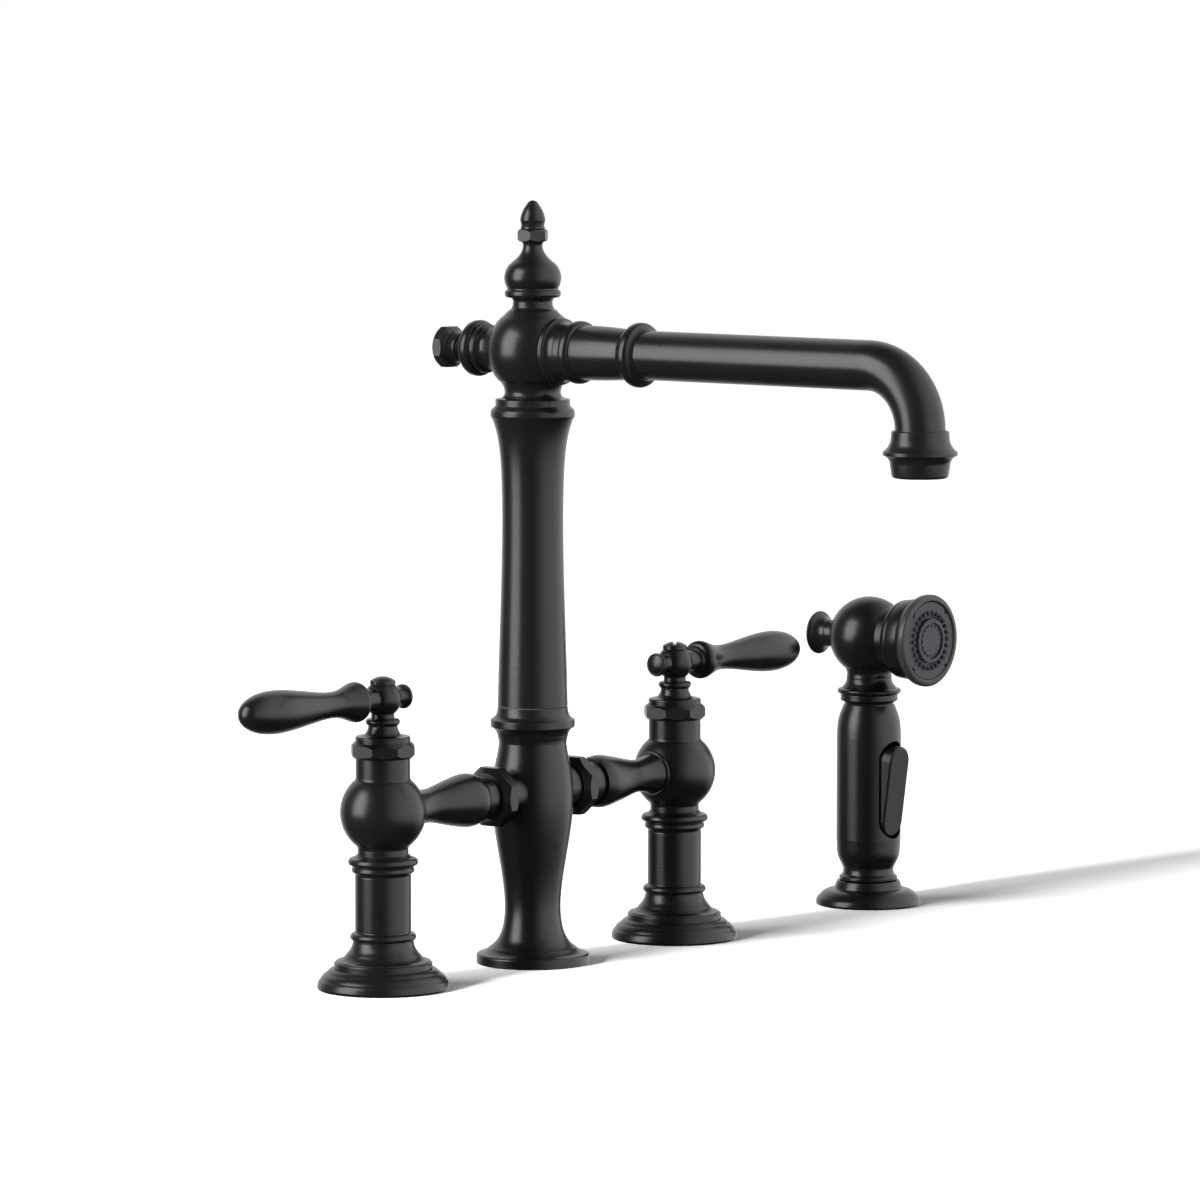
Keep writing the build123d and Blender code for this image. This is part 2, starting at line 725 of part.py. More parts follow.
# ---- top finial ----------------------------------------------------------------------------------
def make_top_finial():
    cove = (finial_cove_radius, finial_cove_height)
    widest = (finial_bulb_radius, finial_bulb_height)
    neck = (finial_neck_radius, finial_neck_height)
    bulb = turned(
        (finial_cove_radius, head_top_height),
        (finial_bead_radius, finial_bead_height, 0.18),
        (finial_cove_radius, finial_bead_height + 1.5, 0.18),
        (*cove, -0.2),
        through(
            cove,
            (widest, [(0.556, 0.341)]),
            (neck, [(0.07, 0.226), (0.274, 0.434), (0.52, 0.562), (0.743, 0.693), (0.899, 0.825)]),
        ),
        (finial_neck_radius + 1.0, finial_nut_base, -0.16),
    )
    bulb -= rod(stud_radius, head_top_height, finial_nut_base)
    keep("finial_bulb", bulb)

    widest = (finial_tip_radius, finial_tip_height)
    point = (finial_point_radius, finial_point_height)
    tip = turned(
        (finial_tip_radius - 0.4, finial_nut_top),
        (finial_tip_radius - 0.2, finial_nut_top + 0.7, 0.2),
        (finial_tip_radius - 0.55, finial_nut_top + 1.5, 0.1),
        (*widest, -0.02),
        through(widest, (point, [(0.085, 0.239), (0.288, 0.493), (0.576, 0.746)])),
        (0, finial_point_height + finial_point_cap, tip_bow(finial_point_radius, finial_point_cap)),
    )
    tip += nut(finial_nut_flats, SIXTH, finial_nut_base, finial_nut_top, 0.2)
    tip += rod(stud_radius, head_crown_height - stud_depth, finial_nut_base)
    keep("finial_tip", tip)


# ---- rear finial ---------------------------------------------------------------------------------
def make_rear_finial():
    rear = Pos(0, 0, spout_height) * TO_REAR
    collar = turned(
        (rear_seat_radius, rear_seat),
        (rear_cove_radius, rear_seat + rear_cove_length, -0.03),
        (rear_bead_radius - 0.5, rear_bead_start, -0.14),
        (rear_bead_radius, rear_bead_start + 1.3, 0.2),
        (rear_bead_radius, rear_disc_start - 0.5),
        (rear_bead_radius - 0.4, rear_disc_start),
    )
    collar -= rod(stud_radius, rear_seat, rear_disc_start)
    keep("rear_collar", rear * collar)

    knob_foot = rear_disc_end + rear_seam
    disc = turned(
        (rear_disc_radius - 1.5, rear_disc_start),
        (rear_disc_radius, rear_disc_start + 3.0, 0.16),
        (rear_disc_radius - 2.2, rear_disc_end - 2.9, 0.16),
        (rear_neck_radius + 1.9, rear_disc_end, 0.1),
        (rear_neck_radius + 1.5, rear_disc_end + 0.4),
        (rear_neck_radius, knob_foot, -0.16),
    )
    disc -= rod(stud_radius, rear_disc_start, knob_foot)
    keep("rear_disc", rear * disc)

    knob = nut(rear_knob_flats, EIGHTH, rear_knob_start, rear_knob_end, 0.4)
    knob += turned(
        (rear_neck_radius + 0.5, knob_foot),
        (rear_neck_radius + 0.9, knob_foot + 0.8, 0.2),
        (rear_neck_radius, knob_foot + 1.7, 0.1),
        (rear_neck_radius + 0.7, knob_foot + 3.0, -0.1),
        (rear_knob_flats / 2 - 0.5, rear_knob_start, -0.1),
    )
    knob += rod(stud_radius, rear_seat - stud_depth + stud_tip_gap, rear_knob_start)
    keep("rear_knob", rear * knob)


# ---- spout ---------------------------------------------------------------------------------------
def make_spout():
    front = Pos(0, 0, spout_height) * TO_FRONT
    socket = turned(
        (socket_radius - 0.5, socket_seat),
        (socket_radius + 0.25, socket_seat + 1.7, 0.2),
        (socket_radius - 0.5, socket_seat + 3.4, 0.2),
        (socket_cove_radius, socket_end - 2.8, -0.1),
        (socket_cove_radius, socket_end),
    )
    socket -= rod(head_way_radius, socket_seat, socket_end)
    socket -= rod(tube_radius, tube_start, socket_end)
    keep("spout_socket", front * socket)

    sleeve = turned(
        (socket_cove_radius, socket_end),
        (sleeve_bead_radius - 0.3, socket_end + 0.9, 0.1),
        (sleeve_bead_radius, socket_end + 2.4, 0.12),
        (sleeve_bead_radius - 1.0, sleeve_bead_end, 0.14),
        (sleeve_start_radius, sleeve_bead_end + 1.6, -0.2),
        (sleeve_end_radius + 0.1, spout_ring_start - 2.0, 0.01),
        (sleeve_end_radius + 0.4, spout_ring_start, -0.1),
    )
    middle = (spout_ring_start + spout_ring_end) / 2
    sleeve += turned(
        (sleeve_end_radius + 0.6, spout_ring_start),
        (spout_ring_radius - 1.0, middle - 2.4, -0.1),
        (spout_ring_radius, middle, 0.14),
        (spout_ring_radius - 1.0, middle + 2.4, 0.14),
        (tube_radius + 0.3, spout_ring_end, -0.1),
    )
    sleeve -= rod(tube_radius, socket_end, spout_ring_end)
    seal_start = socket_end + spout_seal_inset
    seal_radius = tube_radius + spout_seal_groove
    sleeve -= tube(seal_radius, tube_radius, seal_start, seal_start + ring_groove_width)
    keep("spout_sleeve", front * sleeve)
    seal = ring_seal(tube_radius, seal_radius, seal_start + ring_groove_width / 2)
    keep("spout_seals", front * seal)

    bend_start = spout_reach - bend_radius
    with BuildLine() as route:
        Line((0, -tube_start, spout_height), (0, -bend_start, spout_height))
        ThreePointArc(
            (0, -bend_start, spout_height),
            (0, -bend_start - bend_radius * sin(pi / 4), spout_height - bend_radius * (1 - cos(pi / 4))),
            (0, -spout_reach, bend_end_height),
        )
        Line((0, -spout_reach, bend_end_height), (0, -spout_reach, tube_bottom))
    start = Plane((0, -tube_start, spout_height), x_dir=(1, 0, 0), z_dir=(0, -1, 0))
    outer = sweep(start * Circle(tube_radius), route.line)
    inner = sweep(start * Circle(tube_radius - tube_wall), route.line)
    pipe = outer - inner
    outlet = Pos(0, -spout_reach, 0)
    thread = tube_radius - aerator_thread_height
    pipe -= outlet * tube(tube_radius + 1, thread, tube_bottom, aerator_top_height)
    keep("spout_tube", pipe)


def make_aerator():
    outlet = Pos(0, -spout_reach, 0)
    low_ring = outlet_height + aerator_ring_rise - aerator_ring_width / 2
    high_ring = low_ring + aerator_ring_width
    shell = turned(
        (aerator_mouth_radius, outlet_height),
        (aerator_skirt_radius - 0.5, outlet_height + 1.5, 0.18),
        (aerator_skirt_radius + 0.1, outlet_height + 6.0, 0.01),
        (aerator_ring_radius - 0.25, low_ring, -0.14),
        (aerator_ring_radius, low_ring + 0.3, 0.2),
        (aerator_ring_radius, high_ring - 0.3),
        (aerator_ring_radius - 0.25, high_ring, 0.2),
        (aerator_top_radius + 0.3, aerator_top_height - 4.0, -0.1),
        (aerator_top_radius, aerator_top_height - 0.4),
        (aerator_top_radius - 0.4, aerator_top_height),
    )
    shell -= rod(tube_radius - aerator_thread_height, tube_bottom, aerator_top_height)
    shell -= rod(aerator_bore_radius, outlet_height, tube_bottom)
    keep("aerator_shell", outlet * shell)

    body_top = tube_bottom - aerator_washer
    body_bottom = outlet_height + aerator_insert_inset
    span = aerator_bore_radius - aerator_insert_wall
    way = span / 2.5
    keep("spout_seals", outlet * tube(aerator_bore_radius, 2 * way, body_top, tube_bottom))
    core = tube(aerator_bore_radius - seating_fit, span, body_bottom, body_top)
    core += tube(span, way, body_top - 2 * aerator_insert_wall, body_top)
    keep("aerator_insert", outlet * core)

    screen_top = body_bottom + aerator_insert_wall
    screen = tube(span, span - 0.8, body_bottom, screen_top)
    pitch = 2 * span / (aerator_mesh_bars + 1)
    disc = rod(span, body_bottom, screen_top)
    for index in range(aerator_mesh_bars):
        offset = (index - (aerator_mesh_bars - 1) / 2) * pitch
        bar = Pos(offset, 0, (body_bottom + screen_top) / 2)
        bar *= Box(aerator_mesh_bar, 2 * span, aerator_insert_wall)
        screen += bar & disc
        screen += (Rot(0, 0, 90) * bar) & disc
    keep("aerator_insert", outlet * screen)


# ---- one valve, left (-1) or right (+1) ----------------------------------------------------------
def make_valve_base(place):
    flange = turned(
        (flange_radius - 0.2, 0),
        (flange_radius, flange_height * 0.22, 0.12),
        (flange_radius - 1.3, flange_height * 0.505, 0.1),
        (flange_radius - 3.9, flange_height * 0.8, 0.08),
        (flange_shoulder_radius, flange_height, 0.06),
    )
    flange -= rod(shank_radius + seating_fit, 0, flange_height)
    flange -= rod(flange_recess_radius, 0, gasket_thickness)
    keep("base_flanges", place * flange)
    gasket = tube(flange_recess_radius - gasket_gap, gasket_inner_radius, 0, gasket_thickness)
    keep("fixed_seals", place * gasket)

    low, high = leg_lower_bead_height, leg_upper_bead_height
    leg = turned(
        (leg_step_radius, flange_height),
        (leg_step_radius, leg_step_height - 0.6),
        (leg_step_radius - 0.6, leg_step_height, 0.2),
        (leg_step_radius - 1.0, leg_step_height + 0.6, -0.2),
        (leg_cove_radius + 2.55, leg_step_height + 3.7, -0.12),
        (leg_cove_radius, leg_cove_height, -0.09),
        (leg_cove_radius, low - 1.7),
        (leg_lower_bead_radius, low, 0.18),
        (leg_radius + 0.4, low + 1.7, 0.18),
        (leg_radius, low + 2.7, -0.2),
        (leg_radius, leg_ring_height - 3.2),
        (leg_ring_radius - 0.4, leg_ring_height - 1.2, -0.2),
        (leg_ring_radius, leg_ring_height, 0.2),
        (leg_ring_radius - 0.5, leg_ring_height + 1.3, 0.1),
        (leg_upper_bead_radius - 0.7, high - 1.9),
        (leg_upper_bead_radius, high - 0.2, 0.2),
        (leg_upper_bead_radius - 1.6, high + 1.3, 0.2),
        (valve_foot_radius + 0.5, leg_top_height, -0.1),
    )
    leg -= rod(shank_radius + seating_fit, flange_height, leg_top_height)
    keep("valve_legs", place * leg)

    shank_top = leg_top_height + shank_spigot_length
    shank = rod(shank_radius, 0, leg_top_height)
    shank += rod(shank_spigot_radius, leg_top_height, shank_top)
    shank -= rod(inlet_thread_radius, 0, inlet_thread_depth)
    shank -= rod(shank_bore_radius, inlet_thread_depth, shank_top)
    keep("inlet_shanks", place * shank)


def make_valve_body(label, place, side):
    centre = bridge_height
    low, high = -valve_ball_radius * valve_low_share, valve_ball_radius * valve_high_share
    body = turned(
        (valve_foot_radius, leg_top_height),
        (valve_foot_radius, leg_top_height + valve_foot_height),
        (ball_slice(valve_ball_radius, low), centre + low, -0.14),
        (valve_ball_radius, centre, ball_bow(valve_ball_radius, low, 0)),
        (ball_slice(valve_ball_radius, high), centre + high, ball_bow(valve_ball_radius, 0, high)),
        (valve_neck_radius, valve_neck_height, -0.12),
        (valve_neck_radius, bonnet_nut_base),
    )
    body -= rod(shank_spigot_radius, leg_top_height, leg_top_height + shank_spigot_length)
    body -= rod(shank_bore_radius, leg_top_height, cartridge_floor)
    body -= rod(cartridge_radius + seating_fit, cartridge_floor, bonnet_nut_base)
    inward = Pos(0, 0, centre) * along_bridge(-side)
    seat = ball_slice(valve_ball_radius, arm_seat_radius)
    body -= inward * rod(bridge_bore_radius, 0, valve_ball_radius)
    body -= inward * rod(arm_seat_radius, seat, valve_ball_radius)
    body -= inward * rod(arm_waist_radius - arm_spigot_inset, seat - arm_spigot_length, seat)
    keep(label + "_valve_body", place * body)

    nut_top = bonnet_nut_top
    seat_top = cartridge_floor + cartridge_height
    bonnet_nut = nut(bonnet_nut_flats, EIGHTH, bonnet_nut_base, nut_top, 0.9)
    bonnet_nut += rod(cartridge_radius, seat_top, bonnet_nut_base)
    bonnet_nut -= rod(stem_radius + 0.6, seat_top, nut_top)
    bonnet_nut -= rod(bonnet_spigot_radius, nut_top - bonnet_spigot_length, nut_top)
    keep("bonnet_nuts", place * bonnet_nut)

    step_top = nut_top + bonnet_step_height
    bonnet = turned(
        (bonnet_step_radius, nut_top),
        (bonnet_step_radius, step_top - 0.8),
        (bonnet_step_radius - 0.9, step_top, 0.2),
        (bonnet_neck_radius + 0.45, step_top + 2.4, -0.2),
        (bonnet_neck_radius, bonnet_top_height, -0.1),
    )
    bonnet += rod(bonnet_spigot_radius, nut_top - bonnet_spigot_length, nut_top)
    bonnet -= rod(stem_radius + running_fit, nut_top - bonnet_spigot_length, bonnet_top_height)
    keep("bonnets", place * bonnet)


def make_cartridge(label, place):
    floor = cartridge_floor
    top = floor + cartridge_height
    seal_top = floor + cartridge_seal
    keep("fixed_seals", place * tube(cartridge_radius - 0.6, shank_bore_radius, floor, seal_top))
    shell = tube(cartridge_radius, disc_radius + seating_fit, seal_top, top)
    shell += tube(disc_radius + seating_fit, stem_radius + running_fit, top - 6.0, top)
    port_height = seal_top + 2 * disc_thickness - running_fit
    port = rod(bridge_bore_radius - 1.6, -cartridge_radius - 1, cartridge_radius + 1)
    shell -= Pos(0, 0, port_height) * Rot(0, 90, 0) * port
    keep("cartridge_shells", place * shell)

    fixed = rod(disc_radius, seal_top, seal_top + disc_thickness)
    moving_floor = seal_top + disc_thickness + running_fit
    turning = rod(disc_radius, moving_floor, moving_floor + disc_thickness)
    for angle in (0, 180):
        port = rod(disc_radius * disc_port_share, seal_top, moving_floor + disc_thickness)
        port = Rot(0, 0, angle) * Pos(disc_radius / 2, 0, 0) * port
        fixed -= port
        turning -= port
    keep("fixed_discs", place * fixed)
    keep(label + "_turning_disc", place * turning)

    foot = moving_floor + disc_thickness
    stem = rod(disc_radius - 0.3, foot, foot + stem_foot_thickness)
    stem += rod(stem_radius, foot, stem_top_height)
    screw_end = stem_top_height - hub_screw_thread_length - stem_drop
    stem -= rod(hub_screw_thread_radius, screw_end, stem_top_height)
    keep(label + "_stem", place * stem)


def make_handle(label, place, side):
    centre = lever_height
    ring_low = hub_ring_height - hub_ring_width / 2
    ring_high = hub_ring_height + hub_ring_width / 2
    hub_bottom = bonnet_top_height + moving_gap
    hub_crown = hub_top_height - centre
    hub = turned(
        (bonnet_neck_radius, hub_bottom),
        (hub_ring_radius, hub_ring_height, 0.16),
        (hub_ring_radius - 0.9, ring_high, 0.18),
        (hub_neck_radius, ring_high + 0.2),
        (hub_neck_radius, hub_neck_height),
        (hub_neck_radius, centre - hub_foot, -0.05),
        (hub_radius, centre, ball_bow(hub_radius, -hub_foot, 0)),
        (ball_slice(hub_radius, hub_crown), hub_top_height, ball_bow(hub_radius, 0, hub_crown)),
    )
    outward = Pos(0, 0, centre) * along_bridge(side)
    inward = Pos(0, 0, centre) * along_bridge(-side)
    lever_seat = ball_slice(hub_radius, lever_neck_radius)
    knob_seat = ball_slice(hub_radius, knob_neck_radius)
    hub -= rod(stem_radius, hub_bottom, stem_top_height)
    hub -= rod(hub_screw_thread_radius, stem_top_height, hub_top_height)
    hub -= outward * rod(lever_neck_radius, lever_seat, hub_radius)
    hub -= inward * rod(knob_neck_radius, knob_seat, hub_radius)
    tenon_start = stem_radius + tenon_gap
    hub -= outward * rod(tenon_radius, tenon_start, lever_seat)
    hub -= inward * rod(tenon_radius, tenon_start, knob_seat)
    keep(label + "_hub", place * hub)

    rim_top = hub_top_height + hub_screw_rim
    screw_top = rim_top + hub_screw_crown
    screw = turned(
        (hub_screw_radius, hub_top_height),
        (hub_screw_radius, rim_top - 0.3),
        (hub_screw_radius - 0.3, rim_top, 0.2),
        (0, screw_top, tip_bow(hub_screw_radius - 0.3, hub_screw_crown)),
    )
    slot = Box(hub_screw_slot_width, 3 * hub_screw_radius, hub_screw_slot_depth * 2)
    screw -= Pos(0, 0, screw_top) * Rot(0, 0, -hub_screw_slot_angle[side]) * slot
    screw += rod(hub_screw_thread_radius, stem_top_height - hub_screw_thread_length, hub_top_height)
    keep(label + "_hub_screw", place * screw)

    disc_start = knob_reach - knob_rim
    knob = turned(
        (knob_neck_radius, knob_seat),
        (knob_neck_radius - 0.2, knob_seat + 2.2, -0.05),
        (knob_radius - 0.5, disc_start, -0.12),
        (knob_radius, disc_start + knob_rim / 2, 0.2),
        (knob_radius - 0.5, knob_reach - 0.2, 0.2),
        (knob_radius - 1.1, knob_reach - 0.4, -0.2),
        (0, knob_reach + 0.3, tip_bow(knob_radius - 1.1, 0.7)),
    )
    knob += rod(tenon_radius, tenon_start, knob_seat)
    keep(label + "_hub_knob", place * (inward * knob))

    blade = lever_length - lever_collar_reach
    flare = (lever_flare_radius, lever_collar_reach + blade * lever_flare_share)
    waist = (lever_waist_radius, lever_collar_reach + blade * lever_waist_share)
    widest = (lever_grip_radius, lever_collar_reach + blade * lever_grip_share)
    tip = (lever_tip_radius, lever_length - lever_tip_cap)
    lever = turned(
        (lever_neck_radius, lever_seat),
        (lever_neck_radius, lever_collar_reach - 2.0),
        (lever_collar_radius - 0.3, lever_collar_reach - 1.5, -0.1),
        (lever_collar_radius, lever_collar_reach - 0.7, 0.2),
        (lever_collar_radius - 0.1, lever_collar_reach, 0.2),
        (lever_flare_radius - 1.3, lever_collar_reach + 0.9, -0.12),
        through(
            flare,
            (flare, []),
            (waist, [(0.117, 0.181), (0.517, 0.41), (0.867, 0.663)]),
            (widest, [(0.123, 0.193), (0.452, 0.448), (0.795, 0.717)]),
            (tip, [(0.099, 0.408), (0.432, 0.743)]),
        ),
        (0, lever_length, tip_bow(lever_tip_radius, lever_tip_cap)),
    )
    lever += rod(tenon_radius, tenon_start, lever_seat)
    keep(label + "_lever", place * (outward * lever))


# ---- bridge arm and union, on the left or the right ----------------------------------------------
def make_arm(label, side):
    outward = Pos(0, 0, bridge_height) * along_bridge(side)
    lip = arm_start + arm_lip
    swell = (arm_swell_radius, arm_swell_reach)
    waist = (arm_waist_radius, arm_end - arm_waist_inset)
    flare = (arm_ring_radius - 1.1, arm_end - arm_ring_width)
    arm = turned(
        (arm_tail_radius, arm_start),
        (arm_tail_radius, lip),
        (arm_collar_radius, lip),
        (arm_collar_radius, arm_shoulder),
        (arm_shoulder_radius - 0.3, arm_shoulder),
        (arm_shoulder_radius, arm_shoulder + 0.3, 0.2),
        through(
            swell,
            (swell, []),
            (waist, [(0.131, 0.219), (0.447, 0.491), (0.774, 0.74)]),
            (flare, [(0.171, 0.435)]),
        ),
        (arm_ring_radius - 0.5, arm_end - arm_ring_width),
        (arm_ring_radius, arm_end - arm_ring_width / 2, 0.2),
        (arm_ring_radius - 0.4, arm_end, 0.2),
    )
    arm += rod(arm_waist_radius - arm_spigot_inset, arm_end, arm_end + arm_spigot_length)
    arm -= rod(arm_bore_radius, arm_start, arm_end + arm_spigot_length)
    keep(label + "_bridge_arm", outward * arm)

    nut_body = nut(union_flats, EIGHTH, union_start, union_end, union_chamfer)
    nut_body -= rod(union_thread_radius, union_start, lip + seating_fit)
    nut_body -= rod(arm_collar_radius + seating_fit, lip, union_end)
    keep("union_nuts", outward * nut_body)

    washer = tube(arm_tail_radius, bridge_bore_radius + 0.5, post_boss_reach, arm_start)
    keep("fixed_seals", outward * washer)


# ---- side sprayer --------------------------------------------------------------------------------
SPRAYER = Pos(sprayer_offset, 0, 0)
HEAD_FRONT = Pos(sprayer_offset, 0, spray_height) * TO_FRONT
HEAD_REAR = Pos(sprayer_offset, 0, spray_height) * TO_REAR


def make_holder():
    holder = turned(
        (holder_radius - 0.3, 0),
        (holder_radius - 0.1, holder_dome_height * 0.208, 0.1),
        (holder_radius - 1.6, holder_dome_height * 0.558, 0.1),
        (holder_radius - 5.5, holder_dome_height * 0.922, 0.07),
        (holder_step_radius + 0.4, holder_dome_height, 0.02),
        (holder_step_radius, holder_dome_height + 0.4, -0.2),
        (holder_rim_radius, holder_top_height - 0.6, 0.03),
        (holder_rim_radius - 0.6, holder_top_height, 0.2),
    )
    holder -= rod(holder_bore_radius, 0, holder_top_height)
    holder -= rod(holder_gasket_radius, 0, gasket_thickness)
    keep("sprayer_holder", SPRAYER * holder)
    gasket = tube(holder_gasket_radius - gasket_gap, gasket_inner_radius, 0, gasket_thickness)
    keep("fixed_seals", SPRAYER * gasket)
    bush_top = holder_top_height - holder_bush_lip
    bush = tube(holder_bore_radius, holder_bush_bore_radius, holder_bush_foot, bush_top)
    keep("sprayer_bush", SPRAYER * bush)


def make_sprayer_handle():
    foot = holder_top_height + seam_gap
    tail_radius = holder_bush_bore_radius - 2 * running_fit
    tail_bottom = holder_top_height - tail_length
    base = turned(
        (foot_ring_radius - 0.5, foot),
        (foot_ring_radius, foot + 0.9, 0.2),
        (foot_ring_radius - 0.4, foot + 2.1, 0.2),
        (foot_neck_radius + 0.4, foot + 2.95),
        (foot_neck_radius, foot_top_height, -0.06),
    )
    base += rod(tail_radius, tail_bottom, foot)
    base -= rod(core_way_radius, tail_bottom, foot_top_height)
    base -= rod(hose_port_radius, tail_bottom, tail_bottom + hose_port_depth)
    keep("handle_foot", SPRAYER * base)

    low_end = (grip_end_radius, foot_top_height)
    shoulder = (grip_radius, foot_top_height + grip_shoulder_length)
    crown = (grip_radius, grip_top_height - grip_crown_length)
    high_end = (grip_end_radius, grip_top_height)
    grip = turned(
        low_end,
        through(low_end, (shoulder, [(0.406, 0.201), (0.75, 0.388), (0.922, 0.647)])),
        crown,
        through(crown, (high_end, [(0.047, 0.269), (0.219, 0.551), (0.531, 0.769)])),
    )
    grip -= rod(grip_bore_radius, foot_top_height, grip_top_height)
    recess = extrude(stadium(recess_width, recess_bottom, recess_top), 2 * grip_radius, both=True)
    front_half = Pos(0, -recess_floor - grip_radius, (recess_top + recess_bottom) / 2) * Box(
        4 * grip_radius, 2 * grip_radius, 2 * (recess_top - recess_bottom)
    )
    grip -= recess & front_half
    pin_line = Pos(0, -pivot_reach, pivot_height) * Rot(0, 90, 0)
    grip -= pin_line * rod(pivot_pin_radius, -pin_half_length, pin_half_length)
    keep("handle_grip", SPRAYER * grip)

    neck_ring = turned(
        (grip_end_radius - 0.4, grip_top_height),
        (grip_end_radius - 0.2, grip_top_height + 1.3, -0.05),
        (neck_ring_radius - 0.5, grip_top_height + 1.9, -0.1),
        (neck_ring_radius, grip_top_height + 3.0, 0.2),
        (neck_ring_radius, neck_ring_top - 0.6),
        (neck_ring_radius - 0.5, neck_ring_top, 0.2),
    )
    neck_ring -= rod(core_way_radius * 2, grip_top_height, neck_ring_top)
    keep("neck_ring", SPRAYER * neck_ring)

    core = rod(grip_bore_radius, foot_top_height, grip_top_height)
    core -= rod(core_way_radius, foot_top_height, grip_top_height)
    shaved = Box(3 * grip_radius, 2 * grip_radius, recess_top - recess_bottom)
    core -= Pos(0, -recess_floor - grip_radius, (recess_top + recess_bottom) / 2) * shaved
    plunger_line = Pos(0, 0, plunger_height) * TO_FRONT
    core -= plunger_line * rod(plunger_radius + running_fit, -plunger_bore_back, grip_radius)
    core -= plunger_line * rod(spring_radius + 2 * spring_wire, spring_seat, grip_radius)
    keep("valve_core", SPRAYER * core)


def make_trigger():
    """Modelled shut, with its face upright, then swung open about the pivot pin."""
    face = trigger_foot_reach
    outline = stadium(trigger_width, recess_bottom + trigger_low_gap, recess_top - trigger_high_gap)
    pad = Pos(0, trigger_thickness - face, 0) * extrude(outline, trigger_thickness, dir=(0, -1, 0))
    front_edges = pad.faces().sort_by(Axis.Y)[0].edges()
    pad = chamfer(front_edges, trigger_edge)
    pivot = Pos(0, -pivot_reach, pivot_height)
    pad -= pivot * Rot(0, 90, 0) * rod(pivot_pin_radius + running_fit, -trigger_width, trigger_width)
    swing = pivot * Rot(trigger_angle, 0, 0) * Pos(0, pivot_reach, -pivot_height)
    keep("trigger", SPRAYER * (swing * pad))
    pin = rod(pivot_pin_radius, -pin_half_length, pin_half_length)
    keep("trigger_pin", SPRAYER * (pivot * Rot(0, 90, 0) * pin))


def plunger_tip():
    """Reach of the plunger's head in front of the handle axis, where it meets the open trigger."""
    lean = radians(trigger_angle)
    rise = plunger_height - pivot_height
    back = trigger_foot_reach - trigger_thickness - pivot_reach
    return pivot_reach + rise * tan(lean) + back / cos(lean) - plunger_head_radius * tan(lean) - running_fit


def make_plunger():
    line = Pos(sprayer_offset, 0, plunger_height) * TO_FRONT
    tip = plunger_tip()
    plunger = rod(plunger_radius, tip - plunger_length, tip)
    plunger += rod(plunger_head_radius, tip - plunger_head_length, tip)
    keep("plunger", line * plunger)

    start = spring_seat + spring_wire
    length = tip - plunger_head_length - spring_wire - start
    helix = Helix(length / spring_turns, length, spring_radius)
    wire_plane = Plane(helix @ 0, z_dir=helix % 0)
    coil = sweep(wire_plane * Circle(spring_wire), helix, is_frenet=True)
    keep("plunger_spring", line * (Pos(0, 0, start) * coil))


